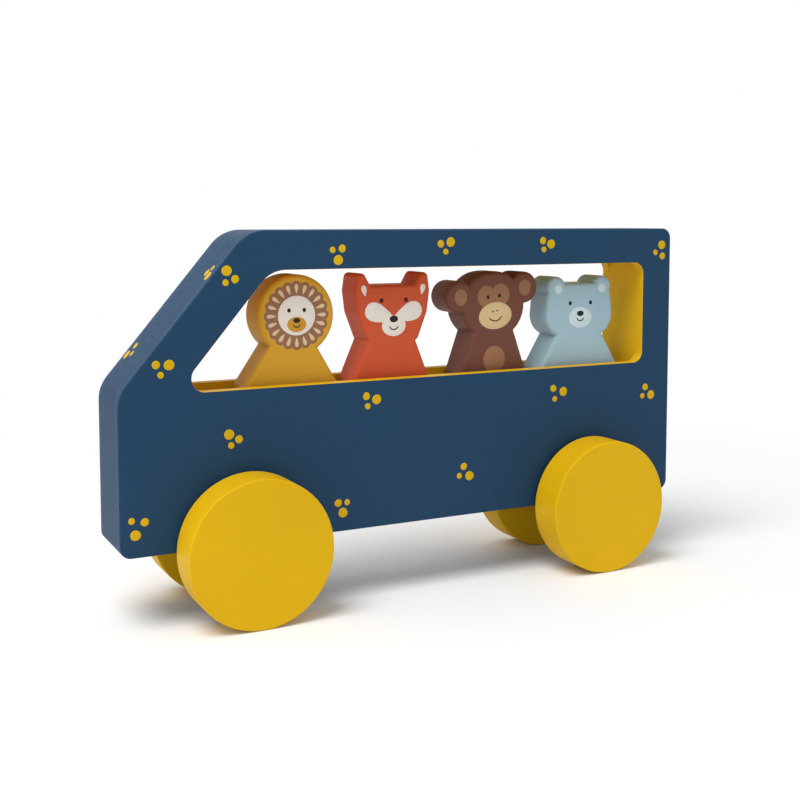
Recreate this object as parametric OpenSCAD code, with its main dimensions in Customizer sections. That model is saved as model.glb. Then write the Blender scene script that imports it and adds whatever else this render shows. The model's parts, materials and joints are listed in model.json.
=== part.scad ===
// Wooden toy bus with four loose animal passengers.
// +X is the front of the bus, +Y its left side and +Z up, with the wheels standing on Z = 0.

/* [Body] */
// Length of the body from bumper to tail
body_length = 290; // [270:1:330]
// Height of the body from its lower edge to the roof
body_height = 137.5; // [130:0.5:160]
// Height of the upright front, from the lower edge to the foot of the windscreen
front_height = 69; // [55:1:80]
// How far the windscreen leans back by the time it meets the roof
windscreen_run = 57.5; // [45:0.5:65]
// Thickness of each side panel
panel_thickness = 6; // [5:0.5:9]
// Thickness of the wooden core between the side panels
core_thickness = 22.5; // [20:0.5:32]
// Radius where the windscreen meets the roof
roof_front_radius = 18; // [10:1:30]
// Radius where the windscreen meets the upright front
brow_radius = 16; // [10:1:28]
// Radius of the lower front corner
front_foot_radius = 5; // [3:0.5:12]
// Radius of the two rear corners
rear_radius = 5; // [3:0.5:10]

/* [Window] */
// Height of the window sill above the body's lower edge
sill_height = 68.5; // [60:0.5:76]
// Depth of the roof above the window
roof_depth = 17.5; // [14:0.5:22]
// Width of the pillar behind the window
rear_pillar = 17.5; // [14:0.5:24]
// Width of the slanting pillar beside the windscreen, square to its slope
windscreen_pillar = 19.5; // [15:0.5:24]
// Radius of the window's lower front corner
window_front_radius = 6; // [3:0.5:10]
// Radius of the window's upper front corner
window_brow_radius = 15; // [8:0.5:18]
// Radius of the window's two rear corners
window_rear_radius = 5.5; // [4:0.5:9]
// How far the floor that the passengers stand on lies below the sill
trough_depth = 4.5; // [3:0.5:8]

/* [Wheels and axles] */
// Diameter of a wheel
wheel_diameter = 65.5; // [54:0.5:74]
// Thickness of a wheel
wheel_thickness = 18; // [15:0.5:24]
// Rounding of a wheel's rims
wheel_edge = 0.7; // [0.5:0.1:3]
// Gap between a wheel and the side panel
wheel_gap = 2; // [1:0.1:4]
// Distance of the front axle behind the front of the body
front_axle_setback = 56.2; // [48:0.1:64]
// Distance between the two axles
wheelbase = 182; // [160:1:200]
// Diameter of the wooden axle rods
axle_diameter = 8; // [6:0.5:12]
// Radial clearance of an axle in its bearing
axle_clearance = 0.08; // [0.05:0.01:0.1]
// Radial clearance of an axle in the notches of the side panels
notch_clearance = 0.6; // [0.4:0.1:1.5]
// Depth of the blind hole that holds the axle in a wheel
wheel_bore_depth = 14; // [8:0.5:14]

/* [Axle caps] */
// Length of a cap along the bus
cap_length = 25; // [22:0.5:34]
// Thickness of a cap below the body
cap_thickness = 10; // [9:0.5:14]
// Rounding of a cap's lower edges
cap_edge = 1; // [0.5:0.25:2]
// Distance of a cap's screws from its ends
screw_inset = 4.5; // [4:0.25:6]
// Diameter of a screw's shank
screw_diameter = 3.5; // [3:0.1:4]
// Diameter of a screw's countersunk head
screw_head = 7; // [6:0.1:8]
// Length of a screw
screw_length = 22; // [18:1:28]

/* [Dowels] */
// Diameter of the dowels that locate the side panels
panel_dowel_diameter = 6; // [4:0.5:8]
// Depth of those dowels in each side panel
panel_dowel_depth = 3.5; // [2:0.5:4]
// Diameter of the dowels that join the members of the core
frame_dowel_diameter = 5; // [4:0.5:6]
// Depth of those dowels on each side of a joint
frame_dowel_depth = 7; // [5:0.5:8]
// Radial room for glue round a dowel, a screw or an axle's end
glue_gap = 0.05; // [0.02:0.01:0.1]

/* [Passengers] */
// Gap between a passenger and the side panels
passenger_play = 2.75; // [2:0.25:4]
// Gap between the tallest passenger and the top of the window
headroom = 2.5; // [2:0.25:6]
// Rounding of a passenger's front and back edges
passenger_edge = 2; // [1:0.25:2.25]
// Rounding of a passenger's foot and ear tips, seen from the side of the bus
passenger_corner = 2.5; // [2.25:0.25:4]
// How far the first passenger's foot reaches in front of the window's upper front corner
row_lead = 10.5; // [6:0.5:14]
// Sideways tilt of the monkey's head in degrees
monkey_tilt = 6; // [0:1:10]

/* [Hidden] */
$fn = 96;
// Facets round a blended shape's own rounds
blend_facets = 32;
// How far a cut runs past what it cuts
overrun = 1;

body_width = core_thickness + 2 * panel_thickness;
front_x = body_length / 2;
rear_x = -body_length / 2;
bottom_z = wheel_diameter / 2;
roof_z = bottom_z + body_height;
brow_z = bottom_z + front_height;
sill_z = bottom_z + sill_height;
floor_z = sill_z - trough_depth;
window_top_z = roof_z - roof_depth;
window_rear_x = rear_x + rear_pillar;
axle_radius = axle_diameter / 2;
front_axle_x = front_x - front_axle_setback;
rear_axle_x = front_axle_x - wheelbase;
axle_places = [front_axle_x, rear_axle_x];
wheel_inner_y = body_width / 2 + wheel_gap;

// The windscreen's slope: its corners, its direction and the direction into the body
brow_corner = [front_x, brow_z];
roof_corner = [front_x - windscreen_run, roof_z];
slope = (roof_corner - brow_corner) / norm(roof_corner - brow_corner);
inward = [-slope.y, slope.x];
slant_start = brow_corner + windscreen_pillar * inward;

// The window's front edge runs parallel to the windscreen
function slant_x(z) = slant_start.x + (z - slant_start.y) * slope.x / slope.y;

window_brow = [slant_x(window_top_z), window_top_z];
post_foot = [slant_x(floor_z), floor_z];
mitre = (roof_corner - window_brow) / norm(roof_corner - window_brow);
mitre_end = roof_corner + overrun * mitre;

// Corners as [x, z, radius]
body_corners = [
    [front_x, bottom_z, front_foot_radius],
    [brow_corner.x, brow_corner.y, brow_radius],
    [roof_corner.x, roof_corner.y, roof_front_radius],
    [rear_x, roof_z, rear_radius],
    [rear_x, bottom_z, rear_radius],
];
window_corners = [
    [slant_x(sill_z), sill_z, window_front_radius],
    [window_brow.x, window_brow.y, window_brow_radius],
    [window_rear_x, window_top_z, window_rear_radius],
    [window_rear_x, sill_z, window_rear_radius],
];

// Dowels across the body, as [x, z]: three in the chassis, two in the roof, one in each post
chassis_dowel_shares = [-0.42, 0, 0.42];
roof_dowel_shares = [0.2, 0.8];
roof_length = window_brow.x - rear_x;
windscreen_middle = (brow_corner + roof_corner + windscreen_pillar * inward) / 2;
panel_dowel_places = concat(
    [for (share = chassis_dowel_shares) [share * body_length, (bottom_z + floor_z) / 2]],
    [for (share = roof_dowel_shares) [rear_x + share * roof_length, roof_z - roof_depth / 2]],
    [windscreen_middle],
    [[rear_x + rear_pillar / 2, (floor_z + window_top_z) / 2]]
);

// Dowels along the core's joints, as [x, z, angle of the dowel from upright]
mitre_middle = (window_brow + roof_corner) / 2;
frame_dowel_places = [
    [(front_x + post_foot.x) / 2, floor_z, 0],
    [rear_x + rear_pillar / 2, floor_z, 0],
    [rear_x + rear_pillar / 2, window_top_z, 0],
    [mitre_middle.x, mitre_middle.y, atan2(mitre.y, mitre.x)],
];

// The screws' places along the bus
screw_places = [for (x = axle_places) for (side = [-1, 1]) x + side * (cap_length / 2 - screw_inset)];
screw_head_depth = (screw_head - screw_diameter) / 2;
screw_slot_share = 0.6;
screw_slot_width_share = 0.14;
screw_slot_depth_share = 0.6;

// The row of passengers, and the size that all of them are drawn to
passenger_names = ["lion", "fox", "monkey", "bear"];
row_start_x = window_brow.x + row_lead;
row_length = row_start_x - window_rear_x;
seat_shares = [0.12, 0.348, 0.606, 0.846];
passenger_thickness = core_thickness - 2 * passenger_play;
passenger_size = min(window_top_z - floor_z - headroom, row_length / len(passenger_names));

// Half the width of each passenger's foot, and its neck as half width and height.
// The lead is how far the foot of one that leans back stands in front of its top
lion_foot_share = 0.427;
lion_lead_share = 0.043;
lion_neck_shares = [0.17, 0.405];
lion_head_share = 0.346;

fox_foot_share = 0.382;
fox_lead_share = 0.02;
fox_neck_shares = [0.217, 0.395];
// The fox's head as discs in [x, z, radius]: jaw, cheek and brow
fox_jaw_shares = [0.19, 0.455, 0.075];
fox_cheek_shares = [0.235, 0.675, 0.112];
fox_brow_shares = [0.312, 0.833, 0.056];
// Its ear: inner root and tip, as [x, z]
fox_ear_root_shares = [0.23, 0.82];
fox_ear_tip_shares = [0.305, 0.949];

monkey_foot_share = 0.356;
monkey_neck_shares = [0.207, 0.42];
// The monkey's wide head as two discs in [x, z, radius]
monkey_head_shares = [0.024, 0.674, 0.31];
monkey_ear_share = 0.147;
monkey_ear_reach_share = 0.366;
monkey_ear_rise = 19.5;

bear_foot_share = 0.453;
bear_neck_shares = [0.246, 0.34];
// The bear's head as discs in [x, z, radius]: cheek and brow, and its ear
bear_cheek_shares = [0.18, 0.55, 0.206];
bear_brow_shares = [0.222, 0.705, 0.15];
bear_ear_shares = [0.264, 0.82, 0.102];

blue = [0.17, 0.26, 0.36];
yellow = [0.84, 0.67, 0.12];
beech = [0.82, 0.66, 0.45];
steel = [0.66, 0.67, 0.69];
ochre = [0.74, 0.54, 0.18];
rust = [0.71, 0.32, 0.22];
brown = [0.42, 0.28, 0.23];
pale_blue = [0.6, 0.69, 0.73];

function toward(from, to) = (to - from) / norm(to - from);
function flat(corner) = [corner.x, corner.y];
function half_angle(at, before, after) = acos(toward(at, before) * toward(at, after)) / 2;

// A convex outline with a true round at each corner
module rounded_outline(corners) {
    count = len(corners);
    rounds = [for (i = [0 : count - 1])
        let (
            at = flat(corners[i]),
            before = flat(corners[(i + count - 1) % count]),
            after = flat(corners[(i + 1) % count]),
            half = half_angle(at, before, after),
            reach = corners[i].z / tan(half),
            bisector = toward(at, at + toward(at, before) + toward(at, after))
        )
        [at + reach * toward(at, before), at + reach * toward(at, after),
         at + corners[i].z / sin(half) * bisector, corners[i].z]];
    polygon([for (round = rounds) for (end = [0, 1]) round[end]]);
    for (round = rounds) {
        translate(round[2]) circle(round[3]);
    }
}

// A board that stands along the bus, drawn in x and z, from one y to another
module board(from_y, to_y) {
    translate([0, to_y, 0]) rotate([90, 0, 0]) linear_extrude(to_y - from_y) children();
}

module core_board() {
    board(-core_thickness / 2, core_thickness / 2) children();
}

// A rod across the bus
module cross_rod(x, z, radius, length) {
    translate([x, 0, z]) rotate([90, 0, 0]) cylinder(h = length, r = radius, center = true);
}

module panel_dowel_set(radius) {
    length = core_thickness + 2 * panel_dowel_depth;
    for (place = panel_dowel_places) {
        cross_rod(place.x, place.y, radius, length);
    }
}

module frame_dowel_set(radius) {
    for (place = frame_dowel_places) {
        translate([place.x, 0, place.y]) rotate([0, -place.z, 0])
            cylinder(h = 2 * frame_dowel_depth, r = radius, center = true);
    }
}

module dowel_holes() {
    panel_dowel_set(panel_dowel_diameter / 2 + glue_gap);
    frame_dowel_set(frame_dowel_diameter / 2 + glue_gap);
}

module axle_bores() {
    for (x = axle_places) {
        cross_rod(x, bottom_z, axle_radius + axle_clearance, body_width);
    }
}

// A countersunk screw that points up from under a cap, without its slot
module screw_body(room) {
    radius = screw_diameter / 2 + room;
    cylinder(h = screw_head_depth, r1 = screw_head / 2 + room, r2 = radius);
    cylinder(h = screw_length + room, r = radius);
}

module screw_set(room) {
    for (x = screw_places) {
        translate([x, 0, bottom_z - cap_thickness]) screw_body(room);
    }
}

module side_panel(from_y) {
    color(blue) difference() {
        board(from_y, from_y + panel_thickness) difference() {
            rounded_outline(body_corners);
            rounded_outline(window_corners);
            for (x = axle_places) {
                translate([x, bottom_z]) circle(axle_radius + notch_clearance);
            }
        }
        panel_dowel_set(panel_dowel_diameter / 2 + glue_gap);
    }
}

module left_side_panel() {
    side_panel(core_thickness / 2);
}

module right_side_panel() {
    side_panel(-core_thickness / 2 - panel_thickness);
}

module chassis_block() {
    color(blue) difference() {
        core_board() intersection() {
            rounded_outline(body_corners);
            translate([rear_x, bottom_z]) square([body_length, floor_z - bottom_z]);
        }
        dowel_holes();
        axle_bores();
        screw_set(glue_gap);
    }
}

module windscreen_post() {
    color(blue) difference() {
        core_board() intersection() {
            rounded_outline(body_corners);
            polygon([
                [front_x + overrun, floor_z],
                post_foot,
                window_brow,
                mitre_end,
                [front_x + overrun, mitre_end.y],
            ]);
        }
        dowel_holes();
    }
}

module roof_rail() {
    color(blue) difference() {
        core_board() intersection() {
            rounded_outline(body_corners);
            polygon([
                window_brow,
                mitre_end,
                [rear_x - overrun, mitre_end.y],
                [rear_x - overrun, window_top_z],
            ]);
        }
        dowel_holes();
    }
}

module rear_post() {
    color(yellow) difference() {
        core_board() translate([rear_x, floor_z]) square([rear_pillar, window_top_z - floor_z]);
        dowel_holes();
    }
}

module panel_dowels() {
    color(beech) panel_dowel_set(panel_dowel_diameter / 2);
}

module frame_dowels() {
    color(beech) frame_dowel_set(frame_dowel_diameter / 2);
}

// A block under the body that closes the lower half of a bearing
module axle_cap(x) {
    cap_bottom = bottom_z - cap_thickness;
    color(blue) difference() {
        core_board() {
            translate([x - cap_length / 2, cap_bottom + cap_edge])
                square([cap_length, cap_thickness - cap_edge]);
            translate([x - cap_length / 2 + cap_edge, cap_bottom])
                square([cap_length - 2 * cap_edge, cap_thickness]);
            for (side = [-1, 1]) {
                translate([x + side * (cap_length / 2 - cap_edge), cap_bottom + cap_edge])
                    circle(cap_edge);
            }
        }
        axle_bores();
        screw_set(glue_gap);
    }
}

module front_axle_cap() {
    axle_cap(front_axle_x);
}

module rear_axle_cap() {
    axle_cap(rear_axle_x);
}

module axle_cap_screws() {
    slot = [screw_slot_share * screw_head, screw_slot_width_share * screw_head];
    slot_depth = screw_slot_depth_share * screw_head_depth;
    color(steel) difference() {
        screw_set(0);
        for (x = screw_places) {
            for (turn = [0, 90]) {
                translate([x, 0, bottom_z - cap_thickness]) rotate(turn)
                    cube([slot.x, slot.y, 2 * slot_depth], center = true);
            }
        }
    }
}

module axle(x) {
    color(beech) cross_rod(x, bottom_z, axle_radius, 2 * (wheel_inner_y + wheel_bore_depth));
}

module front_axle() {
    axle(front_axle_x);
}

module rear_axle() {
    axle(rear_axle_x);
}

// A disc across the bus with rounded rims
module soft_disc(radius, thickness, edge) {
    half = thickness / 2;
    rim = min(edge, radius, half);
    rotate([90, 0, 0]) rotate_extrude() intersection() {
        translate([0, -half]) square([radius, thickness]);
        union() {
            translate([0, -half]) square([radius - rim, thickness]);
            translate([0, rim - half]) square([radius, thickness - 2 * rim]);
            for (side = [-1, 1]) {
                translate([radius - rim, side * (half - rim)]) circle(rim);
            }
        }
    }
}

// A plain wheel on the left (1) or the right (-1) with a blind hole for its axle
module wheel(x, side) {
    middle_y = side * (wheel_inner_y + wheel_thickness / 2);
    color(yellow) difference() {
        translate([x, middle_y, bottom_z]) soft_disc(wheel_diameter / 2, wheel_thickness, wheel_edge);
        cross_rod(x, bottom_z, axle_radius + glue_gap, 2 * (wheel_inner_y + wheel_bore_depth));
    }
}

module front_left_wheel() {
    wheel(front_axle_x, 1);
}

module front_right_wheel() {
    wheel(front_axle_x, -1);
}

module rear_left_wheel() {
    wheel(rear_axle_x, 1);
}

module rear_right_wheel() {
    wheel(rear_axle_x, -1);
}

// A passenger's disc at [x, z] in its own board
module passenger_disc(place, radius) {
    translate([place.x, 0, place.y]) soft_disc(radius, passenger_thickness, passenger_edge);
}

// A passenger's body: a foot that narrows to the neck
module passenger_body(foot_share, neck_shares, lead_share = 0) {
    foot = foot_share * passenger_size - passenger_corner;
    lead = lead_share * passenger_size;
    neck = neck_shares * passenger_size - [passenger_corner, -passenger_corner];
    neck_lead = lead * (1 - neck_shares.y);
    hull() {
        for (side = [-1, 1]) {
            passenger_disc([lead + side * foot, passenger_corner], passenger_corner, $fn = blend_facets);
            passenger_disc([neck_lead + side * neck.x, neck.y], passenger_corner, $fn = blend_facets);
        }
    }
}

module at_seat(index) {
    translate([row_start_x - seat_shares[index] * row_length, 0, floor_z]) children();
}

module lion() {
    head = lion_head_share * passenger_size;
    color(ochre) at_seat(0) {
        passenger_body(lion_foot_share, lion_neck_shares, lion_lead_share);
        passenger_disc([0, passenger_size - head], head);
    }
}

module fox() {
    jaw = fox_jaw_shares * passenger_size;
    cheek = fox_cheek_shares * passenger_size;
    brow = fox_brow_shares * passenger_size;
    ear_root = fox_ear_root_shares * passenger_size;
    ear_tip = fox_ear_tip_shares * passenger_size;
    color(rust) at_seat(1) {
        passenger_body(fox_foot_share, fox_neck_shares, fox_lead_share);
        hull() {
            for (side = [-1, 1]) {
                passenger_disc([side * jaw.x, jaw.y], jaw.z, $fn = blend_facets);
                passenger_disc([side * cheek.x, cheek.y], cheek.z, $fn = blend_facets);
                passenger_disc([side * brow.x, brow.y], brow.z, $fn = blend_facets);
            }
        }
        for (side = [-1, 1]) {
            hull() {
                passenger_disc([side * brow.x, brow.y], brow.z, $fn = blend_facets);
                passenger_disc([side * ear_root.x, ear_root.y], passenger_corner, $fn = blend_facets);
                passenger_disc([side * ear_tip.x, ear_tip.y], passenger_corner, $fn = blend_facets);
            }
        }
    }
}

module monkey() {
    head = monkey_head_shares * passenger_size;
    ear = monkey_ear_share * passenger_size;
    reach = monkey_ear_reach_share * passenger_size;
    color(brown) at_seat(2) {
        passenger_body(monkey_foot_share, monkey_neck_shares);
        translate([0, 0, head.y]) rotate([0, monkey_tilt, 0]) {
            hull() {
                for (side = [-1, 1]) {
                    passenger_disc([side * head.x, 0], head.z, $fn = blend_facets);
                }
            }
            // The ears are blended shapes, so that their rims join the head's rim cleanly
            for (side = [-1, 1]) {
                rotate([0, -side * monkey_ear_rise, 0])
                    hull() passenger_disc([side * reach, 0], ear, $fn = blend_facets);
            }
        }
    }
}

module bear() {
    cheek = bear_cheek_shares * passenger_size;
    brow = bear_brow_shares * passenger_size;
    ear = bear_ear_shares * passenger_size;
    color(pale_blue) at_seat(3) {
        passenger_body(bear_foot_share, bear_neck_shares);
        hull() {
            for (side = [-1, 1]) {
                passenger_disc([side * cheek.x, cheek.y], cheek.z, $fn = blend_facets);
                passenger_disc([side * brow.x, brow.y], brow.z, $fn = blend_facets);
            }
        }
        for (side = [-1, 1]) {
            passenger_disc([side * ear.x, ear.y], ear.z);
        }
    }
}

left_side_panel();
right_side_panel();
chassis_block();
windscreen_post();
roof_rail();
rear_post();
panel_dowels();
frame_dowels();
front_axle_cap();
rear_axle_cap();
axle_cap_screws();
front_axle();
front_left_wheel();
front_right_wheel();
rear_axle();
rear_left_wheel();
rear_right_wheel();
lion();
fox();
monkey();
bear();
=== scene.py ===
import json
import math

import bmesh
import bpy
import numpy as np
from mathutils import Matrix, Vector


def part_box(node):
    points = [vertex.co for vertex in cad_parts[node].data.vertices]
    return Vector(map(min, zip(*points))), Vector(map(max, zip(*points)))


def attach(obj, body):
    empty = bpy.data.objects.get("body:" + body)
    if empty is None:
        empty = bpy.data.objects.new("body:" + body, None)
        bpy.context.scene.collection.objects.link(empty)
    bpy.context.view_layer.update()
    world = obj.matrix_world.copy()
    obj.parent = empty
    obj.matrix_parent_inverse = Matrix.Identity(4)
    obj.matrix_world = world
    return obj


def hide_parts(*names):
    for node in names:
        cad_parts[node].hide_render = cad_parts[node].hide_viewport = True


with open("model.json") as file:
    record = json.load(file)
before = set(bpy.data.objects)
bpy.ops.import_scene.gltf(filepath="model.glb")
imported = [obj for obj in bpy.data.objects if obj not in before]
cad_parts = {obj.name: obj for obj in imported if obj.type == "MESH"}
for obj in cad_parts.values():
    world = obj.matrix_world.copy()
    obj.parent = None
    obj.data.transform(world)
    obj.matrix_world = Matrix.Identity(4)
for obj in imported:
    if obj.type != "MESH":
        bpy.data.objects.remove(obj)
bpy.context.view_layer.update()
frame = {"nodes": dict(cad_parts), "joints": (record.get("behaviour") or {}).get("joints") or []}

MM = 0.001
UP = (0, 0, 1)


def node_box(name):
    low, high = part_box(name)
    return low / MM, high / MM


# Sizes that the solids were drawn to
windscreen_run = 57.5
front_height = 69
sill_height = 68.5
roof_depth = 17.5
rear_pillar = 17.5
windscreen_pillar = 19.5
front_foot_radius = 5
brow_radius = 16
roof_front_radius = 18
rear_radius = 5
window_front_radius = 6
window_brow_radius = 15
window_rear_radius = 5.5
axle_notch_radius = 4.6
monkey_tilt = 6

panel_low, panel_high = node_box("left_side_panel")
front_x = panel_high.x
rear_x = panel_low.x
bottom_z = panel_low.z
roof_z = panel_high.z
panel_inner_y = panel_low.y
panel_outer_y = panel_high.y
brow_z = bottom_z + front_height
sill_z = bottom_z + sill_height
window_top_z = roof_z - roof_depth
window_rear_x = rear_x + rear_pillar
passenger_face_y = node_box("lion")[1].y
floor_z = node_box("lion")[0].z
joint_places = {joint["child"]: Vector(joint["pos_m"]) / MM for joint in frame["joints"]}

# The windscreen's slope in x and z: the way up it and the way out of it
brow_corner = np.array((front_x, brow_z))
roof_corner = np.array((front_x - windscreen_run, roof_z))
slope_up = (roof_corner - brow_corner) / np.linalg.norm(roof_corner - brow_corner)
slope_out = np.array((slope_up[1], -slope_up[0]))
slant_start = brow_corner - windscreen_pillar * slope_out


def slant_x(z):
    return slant_start[0] + (z - slant_start[1]) * slope_up[0] / slope_up[1]


# Corners as x, z and radius, anticlockwise
body_corners = [
    (front_x, bottom_z, front_foot_radius),
    (front_x, brow_z, brow_radius),
    (roof_corner[0], roof_z, roof_front_radius),
    (rear_x, roof_z, rear_radius),
    (rear_x, bottom_z, rear_radius),
]
window_corners = [
    (slant_x(sill_z), sill_z, window_front_radius),
    (slant_x(window_top_z), window_top_z, window_brow_radius),
    (window_rear_x, window_top_z, window_rear_radius),
    (window_rear_x, sill_z, window_rear_radius),
]

# How the boards' edges are eased
outer_ease = 0.6
window_ease = 0.6
seam_ease = 0.12
ease_steps = 5
arc_steps = 20

# How the solids' meshes are smoothed
weld_distance = 0.002
flat_face_weight = 60

# Groups of three painted dots on each side, as x, z, turn in degrees,
# side that the middle dot is on, and spread
side_dot_groups = [
    (96, 150, 70, 1, 0.96),
    (126, 112.5, 158, -1, 1.03),
    (45, 160, 265, -1, 1),
    (-10.5, 162.5, 146, -1, 0.97),
    (-67, 162.5, 174, -1, 0.92),
    (-138, 158.5, 111, 1, 1.05),
    (-74.5, 88.5, 172, -1, 1.15),
    (-130.5, 85, 203, -1, 1.03),
    (29, 92, 174, -1, 1),
    (95, 79.5, 54, 1, 0.92),
    (137.5, 46.5, -78, -1, 1.2),
    (43, 44.5, -91, 1, 0.95),
    (-21, 53.5, 211, -1, 1.05),
]
# The same on the windscreen, as way up the slope and y in place of x and z
windscreen_dot_groups = [
    (20.4, -9.8, 231, 1, 1.05),
    (65.9, 10.3, 135, 1, 0.85),
]
# A group's large, middle and small dot: radius, distance from the group's middle and angle
dot_pattern = [
    (2.3, 3.3, 0),
    (1.8, 2.9, 125),
    (1.45, 2.8, -123),
]
dot_points = 36
dot_sharp_degrees = 60
dot_lift = 0.12
dot_sink = 0.03
# A dot's rings from its rim inwards, as shares of its radius and its height
dot_ring_shares = [(1, -dot_sink / dot_lift), (0.97, 0.45), (0.88, 0.85), (0.55, 1)]
# Waves that take a dot off true round, as waves in a turn and share of its radius
dot_wave_shares = [(2, 0.02), (3, 0.014), (5, 0.008)]

# Painted marks: height of a layer, width of its rim and how far it is sunk, and the outlines' points
mark_lift = 0.05
mark_rim = 0.07
mark_sink = 0.03
mark_points = 48
mark_sharp_degrees = 50
scallop_points = 10
petal_points = 18
petal_taper_share = 0.38
stroke_steps = 14
cap_shares = (0.2, 0.4, 0.6, 0.8)


def linear(colour):
    """An sRGB hex colour as linear RGBA."""
    parts = [int(colour[i:i + 2], 16) / 255 for i in (0, 2, 4)]
    return [p / 12.92 if p <= 0.04045 else ((p + 0.055) / 1.055) ** 2.4 for p in parts] + [1]


def scaled(colour, share):
    return [min(1, c * share) for c in colour[:3]] + [1]


class Shader:
    """A material's nodes, with short calls to add and join them."""

    def __init__(self, name):
        self.material = bpy.data.materials.new(name)
        self.material.use_nodes = True
        self.tree = self.material.node_tree
        self.surface = self.tree.nodes["Principled BSDF"]

    def add(self, kind, settings=(), **inputs):
        node = self.tree.nodes.new(kind)
        for key, value in dict(settings).items():
            setattr(node, key, value)
        for key, value in inputs.items():
            self.put(node.inputs[key.replace("_", " ")], value)
        return node

    def put(self, socket, value):
        if isinstance(value, bpy.types.NodeSocket):
            self.tree.links.new(value, socket)
        else:
            socket.default_value = value

    def coordinates(self, output="Object"):
        return self.add("ShaderNodeTexCoord").outputs[output]

    def noise(self, scale, stretch=(1, 1, 1), detail=3, rough=0.55):
        place = self.add("ShaderNodeMapping", Vector=self.coordinates(), Scale=stretch)
        made = self.add("ShaderNodeTexNoise", Vector=place.outputs["Vector"], Scale=scale,
                        Detail=detail, Roughness=rough)
        return made.outputs["Fac"]

    def remap(self, value, low, high, to_low, to_high):
        made = self.add("ShaderNodeMapRange", Value=value, From_Min=low, From_Max=high,
                        To_Min=to_low, To_Max=to_high)
        return made.outputs["Result"]

    def mix(self, share, first, second):
        made = self.add("ShaderNodeMix", {"data_type": "RGBA"})
        self.put(made.inputs["Factor"], share)
        self.put(made.inputs[6], first)
        self.put(made.inputs[7], second)
        return made.outputs[2]

    def math(self, operation, first, second):
        made = self.add("ShaderNodeMath", {"operation": operation})
        self.put(made.inputs[0], first)
        self.put(made.inputs[1], second)
        return made.outputs[0]

    def bump(self, height, strength, distance):
        made = self.add("ShaderNodeBump", Height=height, Strength=strength, Distance=distance)
        self.put(self.surface.inputs["Normal"], made.outputs["Normal"])


# Roughness, gloss and relief of paint, and the relief's depth in metres
paint_rough = 0.5
paint_specular = 0.12
paint_relief = 0.07
thin_relief = 0.05
core_specular = 0.1
core_relief = 0.03
mark_rough = 0.55
mark_specular = 0.15
ink_specular = 0.2
relief_depth = 0.0003

# Noise stretched along a board's grain, in waves per metre
grain_along_x = (26, 620, 620)
grain_along_z = (620, 620, 26)


def painted(shader, colour, grain):
    """Paint over wood: soft clouds, grain that shows through, and paler paint along the boards' outer
    edges, which is patchy wear together with a painted highlight.
    """
    clouds = shader.remap(shader.noise(16), 0.3, 0.7, 0, 1)
    lines = shader.remap(shader.noise(1, grain, 5, 0.6), 0.35, 0.75, 0, 0.4)
    speckle = shader.remap(shader.noise(900, (1, 1, 1), 2), 0.62, 0.8, 0, 0.3)
    shade = shader.mix(clouds, scaled(colour, 0.95), scaled(colour, 1.05))
    shade = shader.mix(lines, shade, scaled(colour, 0.93))
    shade = shader.mix(speckle, shade, scaled(colour, 1.12))
    # Painted highlight and wear: the boards' eased outer edges are lightened in patches, and never less
    # than a tenth of the way to the paler shade
    edge_wear_and_highlight = shader.add("ShaderNodeAttribute", {"attribute_name": "edge_wear_and_highlight"}).outputs["Fac"]
    patchy = shader.remap(shader.noise(70), 0.4, 0.65, 0.1, 0.45)
    return shader.mix(shader.math("MULTIPLY", edge_wear_and_highlight, patchy), shade, scaled(colour, 1.6))


def paint_finish(shader, grain, rough, specular, relief):
    """The paint's gloss and its relief: brushed film over grain."""
    surface = shader.surface
    surface.inputs["Specular IOR Level"].default_value = specular
    film = shader.noise(420, (1, 1, 1), 3)
    lines = shader.noise(1, grain, 5, 0.6)
    shader.put(surface.inputs["Roughness"], shader.remap(film, 0.3, 0.7, rough - 0.05, rough + 0.06))
    height = shader.math("ADD", shader.math("MULTIPLY", film, 0.6), lines)
    shader.bump(height, relief, relief_depth)


def paint(name, colour, grain=grain_along_x, rough=paint_rough, specular=paint_specular,
          relief=paint_relief):
    shader = Shader(name)
    shader.put(shader.surface.inputs["Base Color"], painted(shader, linear(colour), grain))
    paint_finish(shader, grain, rough, specular, relief)
    return shader.material


def two_paints(name, inside, outside, towards, grain):
    """Paint of one colour on faces that look towards a direction, and of another on the rest."""
    shader = Shader(name)
    facing = shader.add("ShaderNodeVectorMath", {"operation": "DOT_PRODUCT"})
    shader.put(facing.inputs[0], shader.coordinates("Normal"))
    shader.put(facing.inputs[1], towards)
    share = shader.math("GREATER_THAN", facing.outputs["Value"], 0.5)
    outside_paint = painted(shader, linear(outside), grain)
    inside_paint = painted(shader, linear(inside), grain)
    shader.put(shader.surface.inputs["Base Color"], shader.mix(share, outside_paint, inside_paint))
    paint_finish(shader, grain, paint_rough, core_specular, core_relief)
    return shader.material


def bare_wood(name, colour):
    """Pale close-grained wood along y, with rings, short pores and a dry surface."""
    shader = Shader(name)
    along_y = (500, 24, 500)
    rings = shader.remap(shader.noise(1, (130, 8, 130), 4), 0.35, 0.7, 0, 1)
    pores = shader.remap(shader.noise(1, along_y, 4, 0.7), 0.6, 0.75, 0, 0.7)
    shade = shader.mix(rings, linear(colour), scaled(linear(colour), 0.8))
    shade = shader.mix(pores, shade, scaled(linear(colour), 0.6))
    shader.put(shader.surface.inputs["Base Color"], shade)
    shader.put(shader.surface.inputs["Roughness"], shader.remap(pores, 0, 0.7, 0.55, 0.72))
    shader.bump(shader.noise(1, along_y, 4, 0.7), 0.25, relief_depth)
    return shader.material


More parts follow.
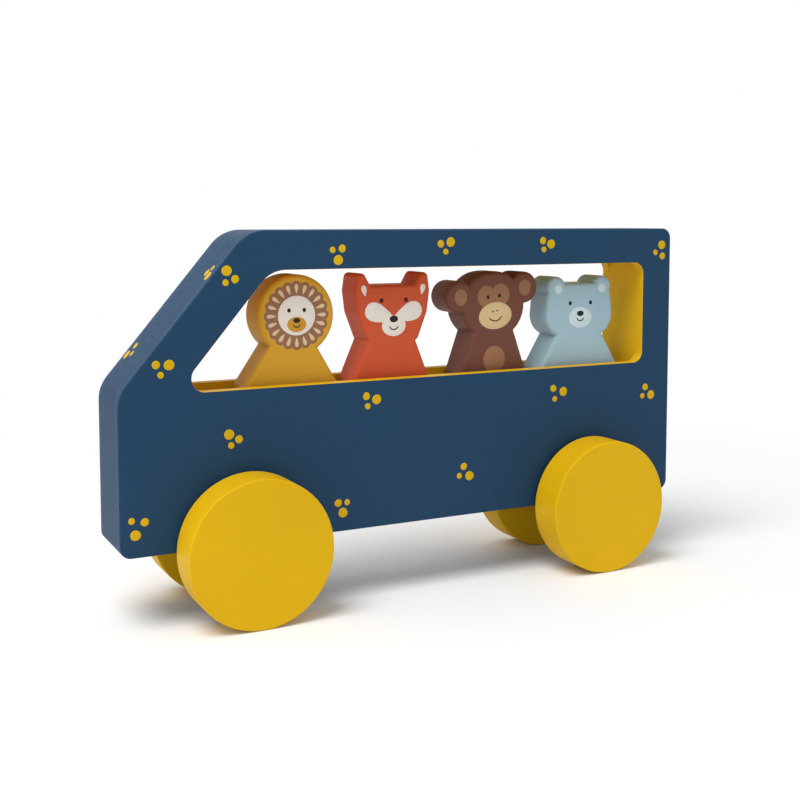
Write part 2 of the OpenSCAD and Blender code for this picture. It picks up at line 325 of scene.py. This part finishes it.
def brushed_steel(name, colour):
    shader = Shader(name)
    shader.surface.inputs["Metallic"].default_value = 1
    scratches = shader.noise(1, (200, 2600, 2600), 4, 0.6)
    shade = shader.mix(scratches, linear(colour), scaled(linear(colour), 0.8))
    shader.put(shader.surface.inputs["Base Color"], shade)
    shader.put(shader.surface.inputs["Roughness"], shader.remap(scratches, 0.3, 0.7, 0.28, 0.45))
    shader.bump(scratches, 0.1, 0.0001)
    return shader.material


blue = "1f3f5b"
yellow = "dcae0a"
blue_paint = paint("blue_paint", blue, relief=thin_relief)
yellow_paint = paint("yellow_paint", yellow)
dot_paint = paint("dot_paint", "cfa70c", rough=0.45)
beech = bare_wood("beech", "d2a873")
steel = brushed_steel("steel", "a9abb0")
ochre_paint = paint("ochre_paint", "cb992d", grain_along_z)
rust_paint = paint("rust_paint", "c55433", grain_along_z)
brown_paint = paint("brown_paint", "6e4539", grain_along_z)
pale_blue_paint = paint("pale_blue_paint", "9db9c5", grain_along_z)
mark_colours = {
    "cream": "e2dad0",
    "mane": "93694d",
    "petal": "d5bd97",
    "ochre": "c58f2c",
    "tan": "93694c",
    "beige": "cfb487",
    "mist": "c6d6da",
}
mark_paints = {name: paint(name + "_mark", colour, grain_along_z, mark_rough, mark_specular, thin_relief)
               for name, colour in mark_colours.items()}
mark_paints["ink"] = paint("ink_mark", "1f1b1b", grain_along_z, paint_rough, ink_specular, thin_relief)


def soft_shading(thing):
    """Rounded edges shade smoothly and flat faces stay flat."""
    weld = thing.modifiers.new("weld", "WELD")
    weld.merge_threshold = weld_distance * MM
    normals = thing.modifiers.new("normals", "WEIGHTED_NORMAL")
    normals.weight = flat_face_weight
    normals.keep_sharp = True


def make_object(name, mesh_maker, materials, body, sharp_degrees=40):
    """A piece from a bmesh drawn in millimetres, which rides on a body."""
    mesh = bpy.data.meshes.new(name)
    bmesh.ops.scale(mesh_maker, vec=(MM, MM, MM), verts=mesh_maker.verts)
    bmesh.ops.recalc_face_normals(mesh_maker, faces=mesh_maker.faces)
    mesh_maker.to_mesh(mesh)
    mesh_maker.free()
    mesh.shade_smooth()
    mesh.set_sharp_from_angle(angle=math.radians(sharp_degrees))
    for material in materials:
        mesh.materials.append(material)
    piece = bpy.data.objects.new(name, mesh)
    bpy.context.scene.collection.objects.link(piece)
    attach(piece, body)
    return piece


def unit(vector):
    return vector / np.linalg.norm(vector)


def rounded_ring(corners, grow):
    """A convex outline with a round at each corner, moved outwards by grow."""
    points = []
    count = len(corners)
    for i, (x, z, radius) in enumerate(corners):
        at = np.array((x, z))
        to_before = unit(np.array(corners[i - 1][:2]) - at)
        to_after = unit(np.array(corners[(i + 1) % count][:2]) - at)
        half = math.acos(to_before @ to_after) / 2
        centre = at + radius / math.sin(half) * unit(to_before + to_after)
        first = at + radius / math.tan(half) * to_before - centre
        start = math.atan2(first[1], first[0])
        for step in range(arc_steps + 1):
            angle = start + (math.pi - 2 * half) * step / arc_steps
            points.append(centre + (radius + grow) * np.array((math.cos(angle), math.sin(angle))))
    return points


def body_ring(grow):
    """The body's outline with the notches for the two axles in its lower edge."""
    points = rounded_ring(body_corners, grow)
    radius = axle_notch_radius - grow
    lift = math.asin(-grow / radius)
    for axle_x in sorted(joint_places[body].x for body in ("front_wheelset", "rear_wheelset")):
        for step in range(arc_steps + 1):
            angle = math.pi - lift - (math.pi - 2 * lift) * step / arc_steps
            reach = radius * np.array((math.cos(angle), math.sin(angle)))
            points.append(np.array((axle_x, bottom_z)) + reach)
    return points


def window_ring(grow):
    return rounded_ring(window_corners, grow)


def ease_profile(ease):
    """An eased edge from the wall to the face, as inset from the wall and depth below the face."""
    angles = [math.pi / 2 * step / ease_steps for step in range(ease_steps + 1)]
    return [(ease * (1 - math.cos(a)), ease * (1 - math.sin(a))) for a in angles]


def loop_edges(maker, loop):
    return [maker.edges.get((a, b)) or maker.edges.new((a, b)) for a, b in zip(loop, loop[1:] + loop[:1])]


def bridge(maker, lower, upper, material):
    count = len(lower)
    for i in range(count):
        j = (i + 1) % count
        face = maker.faces.new((lower[i], lower[j], upper[j], upper[i]))
        face.material_index = material


def side_panel(name, side, node):
    """A side board with eased edges: blue outside, yellow in the window and on its inner face."""
    maker = bmesh.new()
    # How much paler the paint is at each point: wear and a painted highlight, on the board's eased outer
    # edge and its edge face
    edge_wear_and_highlight = maker.verts.layers.float.new("edge_wear_and_highlight")

    def ring(points, y, wear_and_highlight=0):
        made = [maker.verts.new((p[0], side * y, p[1])) for p in points]
        for vert in made:
            vert[edge_wear_and_highlight] = wear_and_highlight
        return made

    outside = [ring(body_ring(-seam_ease), panel_inner_y), ring(body_ring(0), panel_inner_y + seam_ease)]
    outside += [ring(body_ring(-inset), panel_outer_y - depth, 0 if depth == 0 else 1)
                for inset, depth in ease_profile(outer_ease)]
    for lower, upper in zip(outside, outside[1:]):
        bridge(maker, lower, upper, 0)
    inside = [ring(window_ring(0), panel_inner_y)]
    inside += [ring(window_ring(inset), panel_outer_y - depth)
               for inset, depth in ease_profile(window_ease)]
    for index, (lower, upper) in enumerate(zip(inside, inside[1:])):
        bridge(maker, lower, upper, 1 if index <= ease_steps / 2 else 0)
    for outer, inner, material in ((outside[-1], inside[-1], 0), (outside[0], inside[0], 1)):
        edges = loop_edges(maker, outer) + loop_edges(maker, inner)
        filled = bmesh.ops.triangle_fill(maker, edges=edges, use_beauty=True)
        for face in filled["geom"]:
            if isinstance(face, bmesh.types.BMFace):
                face.material_index = material
    panel = make_object(name, maker, [blue_paint, yellow_paint], "bus_body")
    soft_shading(panel)
    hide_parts(node)
    return panel


def dot(maker, centre, across, along, out, radius, phase):
    """A dab of paint: a low dome, not quite round."""
    rings = []
    for radius_share, height_share in dot_ring_shares:
        ring = []
        for step in range(dot_points):
            angle = 2 * math.pi * step / dot_points
            wave = sum(share * math.sin(waves * angle + phase * waves) for waves, share in dot_wave_shares)
            reach = radius * radius_share * (1 + wave)
            place = centre + reach * (math.cos(angle) * across + math.sin(angle) * along)
            ring.append(maker.verts.new(place + dot_lift * height_share * out))
        rings.append(ring)
    for lower, upper in zip(rings, rings[1:]):
        bridge(maker, lower, upper, 0)
    maker.faces.new(rings[-1])


def dot_group(maker, centre, across, along, out, group):
    turn, side, spread = group
    for index, (radius, distance, angle) in enumerate(dot_pattern):
        way = math.radians(turn + side * angle)
        place = centre + spread * distance * (math.cos(way) * across + math.sin(way) * along)
        dot(maker, place, across, along, out, radius, turn + index)


def dots_on_side(name, side):
    maker = bmesh.new()
    for x, z, *group in side_dot_groups:
        centre = Vector((x, side * panel_outer_y, z))
        dot_group(maker, centre, Vector((1, 0, 0)), Vector(UP), Vector((0, side, 0)), group)
    dots = make_object(name, maker, [dot_paint], "bus_body", dot_sharp_degrees)


def dots_on_windscreen(name):
    maker = bmesh.new()
    along = Vector((slope_up[0], 0, slope_up[1]))
    out = Vector((slope_out[0], 0, slope_out[1]))
    start = Vector((front_x, 0, brow_z))
    for rise, y, *group in windscreen_dot_groups:
        dot_group(maker, start + rise * along + Vector((0, y, 0)), along, Vector((0, 1, 0)), out, group)
    dots = make_object(name, maker, [dot_paint], "bus_body", dot_sharp_degrees)


# Outlines of painted marks, anticlockwise in x and z, from the middle of a passenger's foot
def oval(x, z, half_width, half_height, turn=0):
    angles = [2 * math.pi * step / mark_points for step in range(mark_points)]
    c, s = math.cos(math.radians(turn)), math.sin(math.radians(turn))
    flat = [(half_width * math.cos(a), half_height * math.sin(a)) for a in angles]
    return [(x + c * u - s * v, z + s * u + c * v) for u, v in flat]


def scalloped(x, z, radius, depth, count):
    points = []
    steps = count * scallop_points
    for step in range(steps):
        angle = 2 * math.pi * step / steps
        reach = radius - depth * (1 - abs(math.cos(count * angle / 2)))
        points.append((x + reach * math.cos(angle), z + reach * math.sin(angle)))
    return points


def petal(x, z, angle, inner, outer, half_width):
    """A drop that points to the middle of a flower, with its round end out."""
    way = math.radians(angle)
    c, s = math.cos(way), math.sin(way)
    points = []
    for step in range(petal_points):
        turn = 2 * math.pi * step / petal_points
        u = (inner + outer) / 2 + (outer - inner) / 2 * math.cos(turn)
        v = half_width * math.sin(turn) * (1 - petal_taper_share * (1 - math.cos(turn)))
        points.append((x + c * u - s * v, z + s * u + c * v))
    return points


def stroke(centre, radius, start, end, width):
    """A brush stroke along an arc, with round ends."""
    x, z = centre
    shares = [step / stroke_steps for step in range(stroke_steps + 1)]
    angles = [math.radians(start + (end - start) * share) for share in shares]
    outer = radius + width / 2
    inner = radius - width / 2
    points = [(x + outer * math.cos(a), z + outer * math.sin(a)) for a in angles]
    points += cap_points(x, z, radius, angles[-1], width)
    points += [(x + inner * math.cos(a), z + inner * math.sin(a)) for a in reversed(angles)]
    points += cap_points(x, z, radius, angles[0] + math.pi, width, -1)
    return points


def cap_points(x, z, radius, angle, width, side=1):
    """The round end of a brush stroke, without its two corners."""
    middle = (x + side * radius * math.cos(angle), z + side * radius * math.sin(angle))
    turns = [angle + math.pi * share for share in cap_shares]
    return [(middle[0] + width / 2 * math.cos(t), middle[1] + width / 2 * math.sin(t)) for t in turns]


def leaned(points, x, z, degrees):
    """Points turned about a place, front side down."""
    c, s = math.cos(math.radians(degrees)), math.sin(math.radians(degrees))
    return [(x + c * (u - x) + s * (v - z), z - s * (u - x) + c * (v - z)) for u, v in points]


def stamp(maker, outline, seat_x, side, layer):
    """A thin film of paint on a passenger's face, with a soft rim."""
    points = np.array(outline)
    ahead = np.roll(points, -1, axis=0) - np.roll(points, 1, axis=0)
    inward = np.stack((-ahead[:, 1], ahead[:, 0]), axis=1)
    inward /= np.linalg.norm(inward, axis=1)[:, None]
    top = passenger_face_y + layer * mark_lift
    rings = []
    for inset, y in ((0, passenger_face_y - mark_sink), (0, top - mark_lift / 2), (mark_rim, top)):
        ring = [maker.verts.new((seat_x + p[0], side * y, floor_z + p[1])) for p in points + inset * inward]
        rings.append(ring)
    for lower, upper in zip(rings, rings[1:]):
        bridge(maker, lower, upper, 0)
    maker.faces.new(rings[-1])


def marks(passenger, name, colour, layer, outlines):
    """One colour of a passenger's marks, on both of its faces."""
    body = passenger + "_passenger"
    maker = bmesh.new()
    for side in (1, -1):
        for outline in outlines:
            stamp(maker, outline, joint_places[body].x, side, layer)
    make_object(passenger + "_" + name, maker, [mark_paints[colour]], body, mark_sharp_degrees)


def both(maker, x, *rest):
    """The same outline on either side of a passenger's middle."""
    return [maker(side * x, *rest) for side in (-1, 1)]


def lion_marks():
    head_z = 35
    petals = 20
    ring = [petal(0, head_z, 360 * i / petals, 9.9, 14.3, 1.25) for i in range(petals)]
    marks("lion", "mane", "mane", 1, [scalloped(0, head_z, 15.7, 1.1, petals)])
    marks("lion", "petals", "petal", 2, ring)
    marks("lion", "face", "cream", 3, [oval(0, head_z, 9, 9)])
    marks("lion", "muzzle", "ochre", 4, [oval(0, 31, 4.6, 3.5)])
    features = both(oval, 3.7, 37.4, 0.85, 0.95) + [oval(0, 32.8, 1.7, 1.1)]
    features.append(stroke((0, 31.4), 1.7, 205, 335, 0.5))
    marks("lion", "features", "ink", 5, features)


def fox_marks():
    cheeks = [petal(0, 31.5, angle, -1, 15.6, 6.4) for angle in (20, 160)]
    marks("fox", "front_cheek", "cream", 1, cheeks[:1])
    marks("fox", "rear_cheek", "cream", 2, cheeks[1:])
    marks("fox", "chin", "cream", 3, [oval(0, 28.4, 6.2, 4.9)])
    inner_ears = [petal(side * 14.6, 42, 90 - side * 12, 0.6, 5.8, 1.9) for side in (-1, 1)]
    marks("fox", "inner_ears", "cream", 1, inner_ears)
    features = both(oval, 6.4, 40.4, 0.95, 1.05) + [oval(0, 31.6, 2.2, 1.6)]
    features.append(stroke((0, 29), 2.4, 205, 335, 0.55))
    marks("fox", "features", "ink", 4, features)


def monkey_marks():
    head_z = 36.1
    front_ear = oval(19, 40.6, 3.5, 4)
    rear_ear = oval(-17.6, 44.5, 3.5, 4)
    eye_rounds = [leaned(o, 0, head_z, monkey_tilt) for o in both(oval, 4.1, 41, 5.1, 5.4)]
    muzzle = leaned(oval(0, 31, 9.4, 6.6), 0, head_z, monkey_tilt)
    marks("monkey", "inner_ears", "tan", 1, [front_ear, rear_ear])
    marks("monkey", "eye_rounds", "tan", 1, eye_rounds[:1])
    marks("monkey", "second_eye_round", "tan", 2, eye_rounds[1:])
    marks("monkey", "muzzle", "beige", 3, [muzzle])
    features = both(oval, 3.3, 40.6, 0.85, 0.95) + both(oval, 1.2, 33.3, 0.45, 0.45)
    features.append(stroke((0, 32.6), 4.2, 215, 325, 0.55))
    marks("monkey", "features", "ink", 4, [leaned(o, 0, head_z, monkey_tilt) for o in features])
    marks("monkey", "belly", "tan", 1, [oval(0, 9.5, 6.2, 6.6)])


def bear_marks():
    marks("bear", "pale_marks", "mist", 1, [oval(0, 28.2, 7, 5.3)] + both(oval, 13.5, 43, 2.3, 2.3))
    features = both(oval, 6.3, 35.7, 0.95, 1.05) + [oval(0, 30.3, 2.1, 1.4)]
    features.append(stroke((0, 28.7), 2.2, 205, 335, 0.55))
    marks("bear", "features", "ink", 2, features)


def dress_solids():
    """Materials and soft shading on the solids that stay."""
    looking_in = {
        "chassis_block": UP,
        "roof_rail": (0, 0, -1),
        "rear_post": (1, 0, 0),
        "windscreen_post": (-slope_out[0], 0, -slope_out[1]),
    }
    finishes = {
        "panel_dowels": beech,
        "frame_dowels": beech,
        "front_axle_cap": blue_paint,
        "rear_axle_cap": blue_paint,
        "axle_cap_screws": steel,
        "front_axle": beech,
        "rear_axle": beech,
        "front_left_wheel": yellow_paint,
        "front_right_wheel": yellow_paint,
        "rear_left_wheel": yellow_paint,
        "rear_right_wheel": yellow_paint,
        "lion": ochre_paint,
        "fox": rust_paint,
        "monkey": brown_paint,
        "bear": pale_blue_paint,
    }
    for name, towards in looking_in.items():
        grain = grain_along_x if name in ("chassis_block", "roof_rail") else grain_along_z
        finishes[name] = two_paints(name + "_paint", yellow, blue, towards, grain)
    for name, material in finishes.items():
        solid = frame["nodes"][name]
        for slot in solid.material_slots:
            slot.material = material
        soft_shading(solid)


def place_camera():
    """A camera above the roof, without roll. The frame is cropped low, so the lens is shifted down."""
    place = Vector((259, 495.3, 174.7))
    target = Vector((5.95, 2.2, 131.1))
    data = bpy.data.cameras.new("camera")
    data.lens = 52.5
    data.sensor_width = 36
    data.shift_y = -0.1105
    data.clip_end = 50
    camera = bpy.data.objects.new("camera", data)
    bpy.context.scene.collection.objects.link(camera)
    camera.location = place * MM
    camera.rotation_mode = "QUATERNION"
    camera.rotation_quaternion = (place - target).to_track_quat("Z", "Y")
    bpy.context.scene.camera = camera


# The light and the floor, in metres and watts
pure_white = (1, 1, 1, 1)
soft_colour = (0.98, 0.99, 1, 1)
soft_strength = 0.65
key_place = (0.75, 0.4, 1.5)
key_size = 1
key_power = 20
lamp_target = (0, 0, 0.09)
floor_radius = 8
floor_segments = 64
floor_fade = (0.22, 0.5)
floor_shades = ((0.9, 0.9, 0.9, 1), (0.93, 0.93, 0.93, 1))


def add_lamp(name, place, target, size, power):
    data = bpy.data.lights.new(name, "AREA")
    data.shape = "DISK"
    data.size = size
    data.energy = power
    lamp = bpy.data.objects.new(name, data)
    bpy.context.scene.collection.objects.link(lamp)
    lamp.location = place
    lamp.rotation_mode = "QUATERNION"
    lamp.rotation_quaternion = (Vector(place) - Vector(target)).to_track_quat("Z", "Y")


def light_scene():
    """Soft light from all round, a large lamp high in front, and a white background."""
    world = bpy.data.worlds.new("studio")
    bpy.context.scene.world = world
    world.use_nodes = True
    tree = world.node_tree
    tree.nodes.clear()
    rays = tree.nodes.new("ShaderNodeLightPath")
    seen_or_mirrored = tree.nodes.new("ShaderNodeMath")
    seen_or_mirrored.operation = "MAXIMUM"
    direct = tree.nodes.new("ShaderNodeMath")
    direct.operation = "MAXIMUM"
    soft = tree.nodes.new("ShaderNodeBackground")
    soft.inputs["Color"].default_value = soft_colour
    soft.inputs["Strength"].default_value = soft_strength
    white = tree.nodes.new("ShaderNodeBackground")
    white.inputs["Color"].default_value = pure_white
    white.inputs["Strength"].default_value = 1
    mixed = tree.nodes.new("ShaderNodeMixShader")
    output = tree.nodes.new("ShaderNodeOutputWorld")
    tree.links.new(rays.outputs["Is Camera Ray"], seen_or_mirrored.inputs[0])
    tree.links.new(rays.outputs["Is Glossy Ray"], seen_or_mirrored.inputs[1])
    tree.links.new(seen_or_mirrored.outputs[0], direct.inputs[0])
    tree.links.new(rays.outputs["Is Transmission Ray"], direct.inputs[1])
    tree.links.new(direct.outputs[0], mixed.inputs["Fac"])
    tree.links.new(soft.outputs[0], mixed.inputs[1])
    tree.links.new(white.outputs[0], mixed.inputs[2])
    tree.links.new(mixed.outputs[0], output.inputs["Surface"])
    add_lamp("key", key_place, lamp_target, key_size, key_power)


def lay_floor():
    """A pale floor that fades to the white background away from the bus."""
    shader = Shader("floor")
    surface = shader.surface
    surface.inputs["Roughness"].default_value = 0.9
    surface.inputs["Specular IOR Level"].default_value = 0
    shade = shader.mix(shader.noise(9), *floor_shades)
    shader.put(surface.inputs["Base Color"], shade)
    glow = shader.add("ShaderNodeEmission")
    glow.inputs["Color"].default_value = pure_white
    distance = shader.add("ShaderNodeVectorMath", {"operation": "LENGTH"})
    shader.put(distance.inputs[0], shader.coordinates())
    rays = shader.add("ShaderNodeLightPath")
    far = shader.remap(distance.outputs["Value"], *floor_fade, 0, 1)
    share = shader.math("MULTIPLY", far, rays.outputs["Is Camera Ray"])
    mixed = shader.add("ShaderNodeMixShader")
    shader.put(mixed.inputs["Fac"], share)
    shader.put(mixed.inputs[1], surface.outputs["BSDF"])
    shader.put(mixed.inputs[2], glow.outputs["Emission"])
    output = shader.tree.nodes["Material Output"]
    shader.put(output.inputs["Surface"], mixed.outputs["Shader"])
    maker = bmesh.new()
    bmesh.ops.create_circle(maker, cap_ends=True, segments=floor_segments, radius=floor_radius)
    mesh = bpy.data.meshes.new("floor")
    maker.to_mesh(mesh)
    maker.free()
    mesh.materials.append(shader.material)
    floor = bpy.data.objects.new("floor", mesh)
    bpy.context.scene.collection.objects.link(floor)


bpy.context.scene.view_settings.view_transform = "Standard"
place_camera()
light_scene()
lay_floor()
dress_solids()
side_panel("left_board", 1, "left_side_panel")
side_panel("right_board", -1, "right_side_panel")
dots_on_side("left_dots", 1)
dots_on_side("right_dots", -1)
dots_on_windscreen("windscreen_dots")
lion_marks()
fox_marks()
monkey_marks()
bear_marks()
